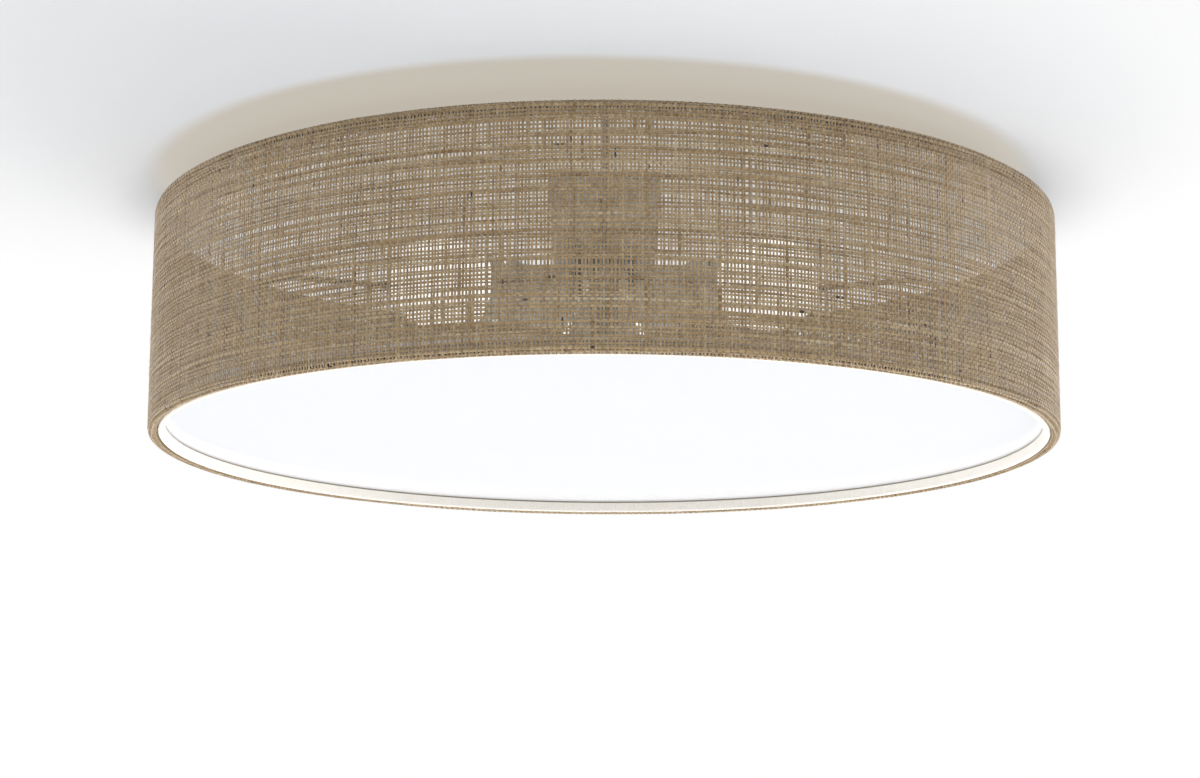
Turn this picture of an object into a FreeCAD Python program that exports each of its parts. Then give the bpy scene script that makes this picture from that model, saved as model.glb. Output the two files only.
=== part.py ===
# Flush mount ceiling light: a jute drum shade under a slim steel canopy, three screw-in lamps
# and a flat opal diffuser. Millimetres. The origin is the centre of the crossbar's ceiling
# face, +Z points up into the ceiling, and the light hangs below z = 0.
import FreeCAD, Part

import math
import os
from FreeCAD import Vector

# ---------------------------------------------------------------- driving dimensions
# Shade
SHADE_DIAMETER = 600.0        # outside of the jute
SHADE_HEIGHT = 149.0          # over both rolled edges
CEILING_GAP = 6.0             # open joint between the ceiling and the shade's top edge
CLOTH = 1.1                   # woven jute, over a crossing of two yarns
FILM = 0.5                    # clear film that the jute is glued to
RING_WIRE = 3.0               # wire of the top and bottom rings
PLY_GAP = 0.3                 # glue line between cloth, film and wire
TOP_HEM = 10.0                # cloth turned in over the top ring
BOTTOM_HEM = 7.6              # cloth turned in over the bottom ring

# Seat ring and diffuser
SEAT_WIDTH = 4.2
SEAT_HEIGHT = 7.8
SEAT_RECESS = 1.2             # seat ring's underside above the rim's underside
SEAT_GLUE = 0.3               # groove between the seat ring and the rolled rim
SEAT_EDGE = 0.8               # bevel of the seat ring's edges
DISC = 3.0                    # opal sheet
DISC_EDGE_GAP = 2.0           # disc's rim to the film, all round
DISC_EDGE = 0.6               # polished edge

# Spider that carries the shade
ARM_WIRE = 4.0
ARM_COUNT = 3
FIRST_ARM_DEG = 30.0          # the arms pass between the lamps
ARM_PAST_CANOPY = 10.0        # the arms stay level this far past the canopy's end
ARM_LEVEL_END = 39.5          # length that runs level into the top ring
ARM_BEND = 40.0               # bend radius of the arms
ARM_NOTCH = 0.3               # room round an arm where it passes the turned-in cloth
HUB_RADIUS = 16.0
HUB = 2.5                     # hub plate
HUB_LAP = 2.5                 # length of arm welded under the hub

# Canopy, crossbar and stem
CANOPY_LENGTH = 260.0
CANOPY_WIDTH = 70.0
CANOPY_DEPTH = 22.0
CANOPY_SHEET = 1.0
CANOPY_CORNER = 5.0           # upright corners
CANOPY_BEND = 1.8             # bend between web and walls
BAR_LENGTH = 200.0
BAR_WIDTH = 25.0
BAR = 2.0                     # crossbar strip
SCREW_SPACING = 150.0         # between the two ceiling screws
SLOT_WIDTH = 5.0
SLOT_LENGTH = 15.0
BAR_END_FLAT = 1.0            # straight part of the crossbar's rounded ends
STEM_RADIUS = 5.0             # M10 x 1 lamp tube
STEM_BORE = 3.5
STEM_TOP_DROP = 0.5           # tube ends this far below the ceiling
THREAD_CLEARANCE = 0.05       # between a threaded tube and its nut
HOLE_CLEARANCE = 0.25         # round a tube or screw in a plain hole
NUT_FLATS = 14.0
NUT = 4.0
NUT_BEVEL = 0.6               # share of a nut's corners that is turned off
WASHER_RADIUS = 10.0
WASHER = 1.2
KNOB_RADIUS = 12.0            # knurled nut that holds the shade
KNOB = 10.0
KNOB_FLUTES = 24
FLUTE_RADIUS = 0.9
KNOB_EDGE = 1.0               # chamfer of the knurled nut
SHADE_TRAVEL = 18.0           # how far the nut and the shade run down the tube
STEM_TAIL = 2.0               # thread still in the nut at the end of that travel

# Lampholder brackets and lampholders, each along its own radius
LAMP_DIRECTIONS = (90.0, 210.0, 330.0)
LAMP_DROP = 58.0              # lamp axis below the ceiling
BRACKET = 1.5
BRACKET_WIDTH = 20.0
BRACKET_START = 12.0          # foot's inner end
BRACKET_FACE = 30.0           # radius of the face that carries the lampholder
BRACKET_TAIL = 16.0           # plate below the lamp axis
BRACKET_SCREW_RADIUS = 1.5
BRACKET_SCREW_HEAD = 2.8
BRACKET_SCREW_ROOM = 0.5      # screw head to the bracket's plate
BRACKET_SCREW_ACROSS = 7.1
SCREW_HEAD = 1.4
SCREW_TAIL = 1.5              # screw end past the sheet
SCREW_SLOT = 0.8              # width of a screwdriver slot
SCREW_BEVEL = 0.4             # bevel of a screw head, in head heights
BRACKET_CORNER = 6.0          # lower corners of the bracket's plate
HOLDER_RADIUS = 20.0
HOLDER_LENGTH = 42.0
HOLDER_LIP = 1.5
HOLDER_LIP_LENGTH = 2.5
HOLDER_BASE = 12.0            # solid back of the lampholder
HOLDER_WALL_EDGE = 3.0        # chamfer of the back
LINER = 1.0
LINER_FIT = 0.3               # liner in the lampholder
LINER_INSET = 2.0             # liner below the lampholder's mouth
LINER_EYE = 6.0               # opening in the liner's floor
NIPPLE_GRIP = 8.0             # tube screwed into the lampholder
TONGUE_WIDTH = 5.0
TONGUE = 0.6
TONGUE_REACH = 8.0
CONTACT_GAP = 0.3             # tongue to the lamp's contact
TONGUE_INSET = 1.0            # tongue's ends inside the liner's eye
WIRE_HOLE = 2.5               # hole for the two wires through the tongue's foot

# Lamps
CAP_RADIUS = 13.2             # E27 thread, outside
CAP_FIT = 0.1                 # cap in the liner
CAP_LENGTH = 18.0
THREAD_COUNT = 5
THREAD_DEPTH = 0.9
LAMP_CONTACT = 6.0            # lamp's contact above the holder's floor
BUTTON_RADIUS = 4.5
BUTTON = 1.5
INSULATOR = 4.0
BASE_NECK = 14.0
BASE_TOP = 24.5
BASE_LENGTH = 27.0
BASE_BELLY = 1.5              # bulge of the housing's side
GLOBE_RADIUS = 30.0
LAMP_LENGTH = 108.0
GLOBE_WALL = 1.2
GLOBE_SHOULDER = 1.0          # bulge between the housing and the globe

# Wiring inside the canopy
WIRE = 1.0                    # radius over the insulation
WIRE_OFFSET = 2.1             # the two wires of a lampholder lie this far either side
WIRE_STEP = 3.0               # between the levels at which crossing wires run
WIRE_BEND = 4.0
BEND_SHARE = 0.45             # most of a straight run that one bend may take
GROMMET_ALONG = 20.5
GROMMET_HOLE = 4.0
GROMMET_BORE = 3.2
GROMMET_FLANGE = 5.4
GROMMET_LIP = 1.2
BLOCK_WIDTH = 32.0
BLOCK_LENGTH = 18.0
BLOCK_HEIGHT = 14.0
POLE_PITCH = 10.0
POLE_BORE = 3.2
INSERT_FIT = 0.1              # brass in its pole, and a crimp pin in the brass
POLE_SCREW = 1.6
POLE_SCREW_INSET = 4.5
POLE_SCREW_SUNK = 1.0         # top of a terminal screw below the block's top
POLE_SCREW_SLOT = 0.6
INSERT_SUNK = 1.0             # brass ends inside the block
FIXING_HOLE = 4.0             # depth of the block's hole for its screw
FIXING_REACH = 3.5            # how far that screw goes in
SLEEVE_LENGTH = 10.0          # crimp sleeve outside the block
PIN_LENGTH = 7.0              # crimp pin inside it
WIRE_INSET = 2.0              # wires end this far inside the lampholder's tube
BUNDLE_GAP = 0.02             # between wires that run side by side
BUNDLE_DROP = 0.4             # lowest crossing level below the bundle
EARTH_RUN = 26.0              # terminal block's far face to the earth screw
EARTH_INSET = 16.0            # canopy's end to the earth screw
EARTH_STRIP = 4.0             # wire end inside the terminal, inside the lug and straight beyond each
LUG_RADIUS = 4.0
LUG = 0.8
LUG_BARREL = (7.0, 12.0)      # crimped barrel, from the earth screw
LUG_BARREL_RISE = 1.4         # barrel's axis above the lug, in wire radii
LUG_BARREL_WALL = 1.5         # barrel's radius, in wire radii
EARTH_SCREW_REACH = 2.5       # past the lug

TOUCH = 0.01                  # two places closer than this are the same

# ---------------------------------------------------------------- derived places
SHADE_RADIUS = SHADE_DIAMETER / 2
SHADE_TOP = -CEILING_GAP
SHADE_BOTTOM = SHADE_TOP - SHADE_HEIGHT
CAVITY = FILM + RING_WIRE + 3 * PLY_GAP              # inside a rolled edge
RIM = CAVITY + 2 * CLOTH                             # rolled edge, across
RIM_INNER = SHADE_RADIUS - RIM
ROLL_RADIUS = SHADE_RADIUS - RIM / 2
TOP_ROLL = SHADE_TOP - RIM / 2
BOTTOM_ROLL = SHADE_BOTTOM + RIM / 2
FILM_OUTER = SHADE_RADIUS - CLOTH - PLY_GAP
FILM_INNER = FILM_OUTER - FILM
RING_RADIUS = FILM_INNER - PLY_GAP - RING_WIRE / 2

SEAT_OUTER = RIM_INNER - SEAT_GLUE
SEAT_INNER = SEAT_OUTER - SEAT_WIDTH
SEAT_BOTTOM = SHADE_BOTTOM + SEAT_RECESS
SEAT_TOP = SEAT_BOTTOM + SEAT_HEIGHT
DISC_RADIUS = FILM_INNER - DISC_EDGE_GAP

WEB_BOTTOM = -CANOPY_DEPTH
WEB_TOP = WEB_BOTTOM + CANOPY_SHEET
CANOPY_NUT_TOP = WEB_BOTTOM - WASHER
HUB_TOP = CANOPY_NUT_TOP - NUT
HUB_BOTTOM = HUB_TOP - HUB
KNOB_BOTTOM = HUB_BOTTOM - KNOB
STEM_BOTTOM = KNOB_BOTTOM - SHADE_TRAVEL - STEM_TAIL
ARM_LOW = HUB_BOTTOM - ARM_WIRE / 2
ARM_REACH = RING_RADIUS - RING_WIRE / 2 - PLY_GAP
ARM_FLAT_END = CANOPY_LENGTH / 2 + ARM_PAST_CANOPY
ARM_TOP_START = ARM_REACH - ARM_LEVEL_END

LAMP_Z = -LAMP_DROP
PLATE_BACK = BRACKET_FACE - BRACKET
BRACKET_SCREW_ALONG = PLATE_BACK - BRACKET_SCREW_HEAD - BRACKET_SCREW_ROOM
HOLDER_FLOOR = BRACKET_FACE + HOLDER_BASE
HOLDER_MOUTH = BRACKET_FACE + HOLDER_LENGTH
LINER_INNER = CAP_RADIUS + CAP_FIT
LINER_OUTER = LINER_INNER + LINER
LAMP_TIP = HOLDER_FLOOR + LAMP_CONTACT
CAP_START = LAMP_TIP + BUTTON + INSULATOR
CAP_END = CAP_START + CAP_LENGTH
BASE_END = CAP_END + BASE_LENGTH
LAMP_END = LAMP_TIP + LAMP_LENGTH
POLE_Z = WEB_TOP + BLOCK_HEIGHT / 2
BLOCK_TOP = WEB_TOP + BLOCK_HEIGHT
EARTH_SCREW_ALONG = CANOPY_LENGTH / 2 - EARTH_INSET
BLOCK_END = EARTH_SCREW_ALONG - EARTH_RUN
BLOCK_START = BLOCK_END - BLOCK_LENGTH
SLEEVE_START = BLOCK_START - SLEEVE_LENGTH

UP = Vector(0, 0, 1)
ALONG_Y = Vector(0, 1, 0)
OUTWARD = Vector(1, 0, 0)


# ---------------------------------------------------------------- shape builders
def save(name, *solids):
    shape = solids[0] if len(solids) == 1 else Part.makeCompound(list(solids))
    shape.exportStep("parts/" + name + ".step")


def rod(radius, start, end, direction=UP, centre=Vector(0, 0, 0)):
    """A round bar between two distances along a direction through centre."""
    return Part.makeCylinder(radius, end - start, centre + direction * start, direction)


def tube(outer, inner, start, end, direction=UP, centre=Vector(0, 0, 0)):
    return rod(outer, start, end, direction, centre).cut(rod(inner, start, end, direction, centre))


def box(x, y, z):
    """A block between (low, high) pairs."""
    return Part.makeBox(x[1] - x[0], y[1] - y[0], z[1] - z[0], Vector(x[0], y[0], z[0]))


def outline(points):
    """A closed face in the XZ plane; a triple (x, z, "arc") is the middle of an arc."""
    edges = []
    spots = [(Vector(p[0], 0, p[1]), len(p) == 3) for p in points]
    spots.append(spots[0])
    i = 0
    while i < len(spots) - 1:
        if spots[i + 1][1]:
            edges.append(Part.Arc(spots[i][0], spots[i + 1][0], spots[i + 2][0]).toShape())
            i += 2
        else:
            edges.append(Part.LineSegment(spots[i][0], spots[i + 1][0]).toShape())
            i += 1
    return Part.Face(Part.Wire(edges))


def turned(points):
    """The outline turned once about the vertical axis."""
    return outline(points).revolve(Vector(0, 0, 0), UP, 360)


def turned_on_lamp_axis(points):
    """An outline in (distance along the lamp, radius), turned about the lamp's own axis."""
    shape = outline(points).revolve(Vector(0, 0, 0), OUTWARD, 360)
    shape.translate(Vector(0, 0, LAMP_Z))
    return shape


def aim(shape, degrees):
    """A copy of a lamp piece, swung from the X axis to its own direction."""
    copy = shape.copy()
    copy.rotate(Vector(0, 0, 0), UP, degrees)
    return copy


def rounded_slab(length, width, corner, low, high):
    """A slab with rounded upright corners, long side along Y."""
    slab = box((-width / 2, width / 2), (-length / 2, length / 2), (low, high))
    upright = [e for e in slab.Edges if abs(e.tangentAt(e.FirstParameter).z) > 1 - TOUCH]
    return slab.makeFillet(corner, upright)


def hexagon(flats, low, high):
    """A hexagonal prism about the vertical axis."""
    across = flats / math.sqrt(3)
    corners = [Vector(across * math.cos(math.radians(60 * i)),
                      across * math.sin(math.radians(60 * i)), low) for i in range(7)]
    return Part.Face(Part.makePolygon(corners)).extrude(Vector(0, 0, high - low))


def nut(flats, low, high, bore):
    """A hexagon nut with its corners turned off on both faces."""
    corner = flats / math.sqrt(3)
    bevel = (corner - flats / 2) * NUT_BEVEL
    bounds = turned([(0, low), (corner - bevel, low), (corner, low + bevel),
                     (corner, high - bevel), (corner - bevel, high), (0, high)])
    return hexagon(flats, low, high).common(bounds).cut(rod(bore, low, high))


def bent_rod(radius, points, bend):
    """A round wire along straight runs joined by tangent arcs."""
    spots = [Vector(*p) for p in points]
    edges = []
    start = spots[0]
    for before, corner, after in zip(spots, spots[1:], spots[2:]):
        arrive = (corner - before).normalize()
        leave = (after - corner).normalize()
        half = arrive.getAngle(leave) / 2
        shorter = min((corner - before).Length, (after - corner).Length)
        arc = min(bend, BEND_SHARE * shorter / math.tan(half))
        cut = arc * math.tan(half)
        first = corner - arrive * cut
        last = corner + leave * cut
        inward = (leave - arrive).normalize()
        middle = corner + inward * (arc / math.cos(half) - arc)
        edges.append(Part.LineSegment(start, first).toShape())
        edges.append(Part.Arc(first, middle, last).toShape())
        start = last
    edges.append(Part.LineSegment(start, spots[-1]).toShape())
    path = Part.Wire(edges)
    section = Part.Wire(Part.Circle(spots[0], spots[1] - spots[0], radius).toShape())
    return path.makePipeShell([section], True, False)


def pan_screw(radius, head_radius, head, seat, tip, centre):
    """A pan-head screw that hangs from its head: seat is the sheet face it presses on."""
    edge = head * SCREW_BEVEL
    screw = turned([(0, seat - head), (head_radius - edge, seat - head), (head_radius, seat - head + edge),
                    (head_radius, seat), (radius, seat), (radius, tip), (0, tip)])
    slot = box((-head_radius, head_radius), (-SCREW_SLOT / 2, SCREW_SLOT / 2),
               (seat - head, seat - head / 2))
    screw = screw.cut(slot)
    screw.translate(centre)
    return screw


# ---------------------------------------------------------------- shade
def shade_rings():
    """Wire rings in the two rolled edges of the shade."""
    for name, level in (("shade_top_ring", TOP_ROLL), ("shade_bottom_ring", BOTTOM_ROLL)):
        save(name, Part.makeTorus(RING_RADIUS, RING_WIRE / 2, Vector(0, 0, level), UP))


def arm_path(degrees):
    """Level under the hub and the canopy, up to the top ring, then level to the ring."""
    c, s = math.cos(math.radians(degrees)), math.sin(math.radians(degrees))
    stations = [(HUB_RADIUS - HUB_LAP, ARM_LOW), (ARM_FLAT_END, ARM_LOW),
                (ARM_TOP_START, TOP_ROLL), (ARM_REACH, TOP_ROLL)]
    return [(r * c, r * s, z) for r, z in stations]


def arm_directions():
    return [FIRST_ARM_DEG + 360.0 * i / ARM_COUNT for i in range(ARM_COUNT)]


def spider():
    """Hub plate on the stem and the wire arms welded under it."""
    hub = tube(HUB_RADIUS, STEM_RADIUS + HOLE_CLEARANCE, HUB_BOTTOM, HUB_TOP)
    save("spider_hub", hub)
    for i, degrees in enumerate(arm_directions()):
        save("spider_arm_%d" % (i + 1), bent_rod(ARM_WIRE / 2, arm_path(degrees), ARM_BEND))


def film():
    """Clear cylinder between the centres of the two rolls."""
    save("shade_film", tube(FILM_OUTER, FILM_INNER, BOTTOM_ROLL, TOP_ROLL))


def jute_cover():
    """One length of jute round the film, turned in over both rings."""
    inner_leg = RIM_INNER + CLOTH
    inner_wall = SHADE_RADIUS - CLOTH
    cover = turned([
        (SHADE_RADIUS, BOTTOM_ROLL), (SHADE_RADIUS, TOP_ROLL), (ROLL_RADIUS, SHADE_TOP, "arc"),
        (RIM_INNER, TOP_ROLL), (RIM_INNER, SHADE_TOP - TOP_HEM), (inner_leg, SHADE_TOP - TOP_HEM),
        (inner_leg, TOP_ROLL), (ROLL_RADIUS, SHADE_TOP - CLOTH, "arc"), (inner_wall, TOP_ROLL),
        (inner_wall, BOTTOM_ROLL), (ROLL_RADIUS, SHADE_BOTTOM + CLOTH, "arc"), (inner_leg, BOTTOM_ROLL),
        (inner_leg, SHADE_BOTTOM + BOTTOM_HEM), (RIM_INNER, SHADE_BOTTOM + BOTTOM_HEM),
        (RIM_INNER, BOTTOM_ROLL), (ROLL_RADIUS, SHADE_BOTTOM, "arc")])
    for degrees in arm_directions():
        direction = Vector(math.cos(math.radians(degrees)), math.sin(math.radians(degrees)), 0)
        notch = rod(ARM_WIRE / 2 + ARM_NOTCH, RIM_INNER - CLOTH, ROLL_RADIUS, direction,
                    Vector(0, 0, TOP_ROLL))
        cover = cover.cut(notch)
    save("jute_cover", cover)


def seat_ring():
    """Cream ring glued inside the rolled rim; the diffuser lies on it."""
    save("seat_ring", turned([
        (SEAT_INNER, SEAT_BOTTOM + SEAT_EDGE), (SEAT_INNER + SEAT_EDGE, SEAT_BOTTOM),
        (SEAT_OUTER - SEAT_EDGE, SEAT_BOTTOM), (SEAT_OUTER, SEAT_BOTTOM + SEAT_EDGE),
        (SEAT_OUTER, SEAT_TOP), (SEAT_INNER + SEAT_EDGE, SEAT_TOP), (SEAT_INNER, SEAT_TOP - SEAT_EDGE)]))


def diffuser():
    """Loose opal disc."""
    top = SEAT_TOP + DISC
    save("diffuser_disc", turned([
        (0, SEAT_TOP), (DISC_RADIUS - DISC_EDGE, SEAT_TOP), (DISC_RADIUS, SEAT_TOP + DISC_EDGE),
        (DISC_RADIUS, top - DISC_EDGE), (DISC_RADIUS - DISC_EDGE, top), (0, top)]))


# ---------------------------------------------------------------- ceiling hardware
def crossbar():
    """Strip that screws to the ceiling, with two long slots and the stem's threaded hole."""
    bar = rounded_slab(BAR_LENGTH, BAR_WIDTH, (BAR_WIDTH - BAR_END_FLAT) / 2, -BAR, 0)
    for y in (-SCREW_SPACING / 2, SCREW_SPACING / 2):
        half = (SLOT_LENGTH - SLOT_WIDTH) / 2
        slot = box((-SLOT_WIDTH / 2, SLOT_WIDTH / 2), (y - half, y + half), (-BAR, 0))
        for end in (y - half, y + half):
            slot = slot.fuse(rod(SLOT_WIDTH / 2, -BAR, 0, UP, Vector(0, end, 0)))
        bar = bar.cut(slot)
    save("ceiling_crossbar", bar.cut(rod(STEM_RADIUS + THREAD_CLEARANCE, -BAR, 0)))


def lamp_point(along, across, z, degrees):
    """A point given along and across a lamp's direction."""
    c, s = math.cos(math.radians(degrees)), math.sin(math.radians(degrees))
    return Vector(along * c - across * s, along * s + across * c, z)


def bracket_screw_places(degrees):
    return [lamp_point(BRACKET_SCREW_ALONG, side, 0, degrees)
            for side in (-BRACKET_SCREW_ACROSS, BRACKET_SCREW_ACROSS)]


def canopy():
    """Folded tray, open to the ceiling, that hides the crossbar and the terminals."""
    shell = rounded_slab(CANOPY_LENGTH, CANOPY_WIDTH, CANOPY_CORNER, WEB_BOTTOM, 0)
    rim = [e for e in shell.Edges if e.BoundBox.ZMax < WEB_BOTTOM + TOUCH]
    shell = shell.makeFillet(CANOPY_BEND, rim)
    pocket = rounded_slab(CANOPY_LENGTH - 2 * CANOPY_SHEET, CANOPY_WIDTH - 2 * CANOPY_SHEET,
                          CANOPY_CORNER - CANOPY_SHEET, WEB_TOP, 0)
    floor = [e for e in pocket.Edges if e.BoundBox.ZMax < WEB_TOP + TOUCH]
    shell = shell.cut(pocket.makeFillet(CANOPY_BEND - CANOPY_SHEET, floor))
    holes = [rod(STEM_RADIUS + HOLE_CLEARANCE, WEB_BOTTOM, WEB_TOP),
             rod(POLE_SCREW + HOLE_CLEARANCE, WEB_BOTTOM, WEB_TOP, UP, Vector(0, EARTH_SCREW_ALONG, 0)),
             rod(BRACKET_SCREW_RADIUS + HOLE_CLEARANCE, WEB_BOTTOM, WEB_TOP, UP, block_screw_place())]
    for degrees in LAMP_DIRECTIONS:
        holes.append(rod(GROMMET_HOLE, WEB_BOTTOM, WEB_TOP, UP, lamp_point(GROMMET_ALONG, 0, 0, degrees)))
        for place in bracket_screw_places(degrees):
            holes.append(rod(BRACKET_SCREW_RADIUS + HOLE_CLEARANCE, WEB_BOTTOM, WEB_TOP, UP, place))
    for hole in holes:
        shell = shell.cut(hole)
    save("canopy_tray", shell)


def stem():
    """Threaded tube with the nuts and washer that clamp the canopy to the crossbar."""
    save("threaded_stem", tube(STEM_RADIUS, STEM_BORE, STEM_BOTTOM, -STEM_TOP_DROP))
    bore = STEM_RADIUS + THREAD_CLEARANCE
    save("stem_locknut", nut(NUT_FLATS, -BAR - NUT, -BAR, bore))
    save("canopy_washer", tube(WASHER_RADIUS, STEM_RADIUS + HOLE_CLEARANCE, CANOPY_NUT_TOP, WEB_BOTTOM))
    save("canopy_nut", nut(NUT_FLATS, HUB_TOP, CANOPY_NUT_TOP, bore))


def knob_nut():
    """Fluted brass nut that holds the shade's hub up against the canopy nut."""
    face = KNOB_RADIUS - KNOB_EDGE
    knob = turned([(0, KNOB_BOTTOM), (face, KNOB_BOTTOM), (KNOB_RADIUS, KNOB_BOTTOM + KNOB_EDGE),
                   (KNOB_RADIUS, HUB_BOTTOM - KNOB_EDGE), (face, HUB_BOTTOM), (0, HUB_BOTTOM)])
    knob = knob.cut(rod(STEM_RADIUS + THREAD_CLEARANCE, KNOB_BOTTOM, HUB_BOTTOM))
    for i in range(KNOB_FLUTES):
        turn = 2 * math.pi * i / KNOB_FLUTES
        place = Vector(KNOB_RADIUS * math.cos(turn), KNOB_RADIUS * math.sin(turn), 0)
        knob = knob.cut(rod(FLUTE_RADIUS, KNOB_BOTTOM, HUB_BOTTOM, UP, place))
    save("shade_nut", knob)


# ---------------------------------------------------------------- lampholders
def bracket():
    """Steel angle: its foot is screwed under the canopy, its plate carries the lampholder."""
    half = BRACKET_WIDTH / 2
    foot = box((BRACKET_START, BRACKET_FACE), (-half, half), (WEB_BOTTOM - BRACKET, WEB_BOTTOM))
    plate = box((PLATE_BACK, BRACKET_FACE), (-half, half), (LAMP_Z - BRACKET_TAIL, WEB_BOTTOM - BRACKET))
    angle = foot.fuse(plate).removeSplitter()
    low = [e for e in angle.Edges
           if e.BoundBox.ZMax < LAMP_Z - BRACKET_TAIL + TOUCH and e.BoundBox.YLength < TOUCH]
    angle = angle.makeFillet(BRACKET_CORNER, low)
    angle = angle.cut(rod(STEM_RADIUS + HOLE_CLEARANCE, PLATE_BACK, BRACKET_FACE, OUTWARD,
                          Vector(0, 0, LAMP_Z)))
    angle = angle.cut(rod(GROMMET_HOLE, WEB_BOTTOM - BRACKET, WEB_BOTTOM, UP, Vector(GROMMET_ALONG, 0, 0)))
    for side in (-BRACKET_SCREW_ACROSS, BRACKET_SCREW_ACROSS):
        angle = angle.cut(rod(BRACKET_SCREW_RADIUS + HOLE_CLEARANCE, WEB_BOTTOM - BRACKET, WEB_BOTTOM, UP,
                              Vector(BRACKET_SCREW_ALONG, side, 0)))
    return angle


def lampholder_body():
    """Moulded lampholder: thick back with the tube's thread, open bore for the lamp."""
    cavity = LINER_OUTER + LINER_FIT
    shell = turned_on_lamp_axis([
        (BRACKET_FACE, STEM_RADIUS + THREAD_CLEARANCE), (BRACKET_FACE, HOLDER_RADIUS - HOLDER_WALL_EDGE),
        (BRACKET_FACE + HOLDER_WALL_EDGE, HOLDER_RADIUS), (HOLDER_MOUTH - HOLDER_LIP_LENGTH, HOLDER_RADIUS),
        (HOLDER_MOUTH - HOLDER_LIP_LENGTH, HOLDER_RADIUS + HOLDER_LIP),
        (HOLDER_MOUTH, HOLDER_RADIUS + HOLDER_LIP), (HOLDER_MOUTH, cavity), (HOLDER_FLOOR, cavity),
        (HOLDER_FLOOR, STEM_BORE), (BRACKET_FACE + NIPPLE_GRIP, STEM_BORE),
        (BRACKET_FACE + NIPPLE_GRIP, STEM_RADIUS + THREAD_CLEARANCE)])
    return shell


def lampholder_liner():
    """Brass thread liner with a flanged floor."""
    return turned_on_lamp_axis([
        (HOLDER_FLOOR, LINER_EYE), (HOLDER_FLOOR, LINER_OUTER), (HOLDER_MOUTH - LINER_INSET, LINER_OUTER),
        (HOLDER_MOUTH - LINER_INSET, LINER_INNER), (HOLDER_FLOOR + LINER, LINER_INNER),
        (HOLDER_FLOOR + LINER, LINER_EYE)])


def lampholder_tongue():
    """Bent brass strip that feeds the lamp's centre contact."""
    tip = LAMP_TIP - CONTACT_GAP
    floor = HOLDER_FLOOR
    half = TONGUE_REACH / 2
    edge = LINER_EYE - TONGUE_INSET
    strip = outline([(floor, -edge), (floor + TONGUE, -edge), (floor + TONGUE, half - TONGUE),
                     (tip - TONGUE, -half / 2), (tip, -half / 2), (tip, half / 2),
                     (tip - TONGUE, half / 2), (floor + 2 * TONGUE, edge - TONGUE), (floor, edge)])
    strip = strip.extrude(Vector(0, TONGUE_WIDTH, 0))
    strip.translate(Vector(0, -TONGUE_WIDTH / 2, LAMP_Z))
    return strip.cut(rod(WIRE_HOLE, HOLDER_FLOOR, HOLDER_FLOOR + TONGUE / 2, OUTWARD, Vector(0, 0, LAMP_Z)))


def holder_nipple():
    """Short threaded tube through the bracket, from its nut into the lampholder."""
    return tube(STEM_RADIUS, STEM_BORE, PLATE_BACK - NUT, BRACKET_FACE + NIPPLE_GRIP, OUTWARD,
                Vector(0, 0, LAMP_Z))


def holder_nut():
    shape = nut(NUT_FLATS, 0, NUT, STEM_RADIUS + THREAD_CLEARANCE)
    shape.rotate(Vector(0, 0, 0), ALONG_Y, 90)
    shape.translate(Vector(PLATE_BACK - NUT, 0, LAMP_Z))
    return shape


# ---------------------------------------------------------------- lamps
def lamp_cap():
    """Screw cap with rounded thread ridges."""
    step = CAP_LENGTH / THREAD_COUNT
    root = CAP_RADIUS - THREAD_DEPTH
    points = [(CAP_START, 0), (CAP_START, root)]
    for i in range(THREAD_COUNT):
        low = CAP_START + step * i
        points += [(low + step / 2, CAP_RADIUS, "arc"), (low + step, root)]
    points += [(CAP_END, 0)]
    return turned_on_lamp_axis(points)


def lamp_insulator():
    """Dark glass cone between the cap and the centre contact."""
    return turned_on_lamp_axis([
        (LAMP_TIP + BUTTON, 0), (LAMP_TIP + BUTTON, BUTTON_RADIUS), (CAP_START, CAP_RADIUS - THREAD_DEPTH),
        (CAP_START, 0)])


def lamp_contact():
    return turned_on_lamp_axis([
        (LAMP_TIP, 0), (LAMP_TIP, BUTTON_RADIUS - BUTTON / 2), (LAMP_TIP + BUTTON / 2, BUTTON_RADIUS),
        (LAMP_TIP + BUTTON, BUTTON_RADIUS), (LAMP_TIP + BUTTON, 0)])


def lamp_base():
    """Flared housing between the cap and the globe."""
    middle = (CAP_END + BASE_END) / 2
    belly = (BASE_NECK + BASE_TOP) / 2 + BASE_BELLY
    return turned_on_lamp_axis([
        (CAP_END, 0), (CAP_END, BASE_NECK), (middle, belly, "arc"), (BASE_END, BASE_TOP), (BASE_END, 0)])


def lamp_globe():
    """Hollow opal globe seated on the housing."""
    centre = LAMP_END - GLOBE_RADIUS
    shoulder = (BASE_END + centre) / 2
    rise = (BASE_TOP + GLOBE_RADIUS) / 2 + GLOBE_SHOULDER
    diagonal = math.sqrt(0.5)
    inner = GLOBE_RADIUS - GLOBE_WALL
    return turned_on_lamp_axis([
        (BASE_END, BASE_TOP - GLOBE_WALL), (BASE_END, BASE_TOP), (shoulder, rise, "arc"),
        (centre, GLOBE_RADIUS), (centre + GLOBE_RADIUS * diagonal, GLOBE_RADIUS * diagonal, "arc"),
        (LAMP_END, 0), (LAMP_END - GLOBE_WALL, 0), (centre + inner * diagonal, inner * diagonal, "arc"),
        (centre, inner), (shoulder, rise - GLOBE_WALL, "arc")])


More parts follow.
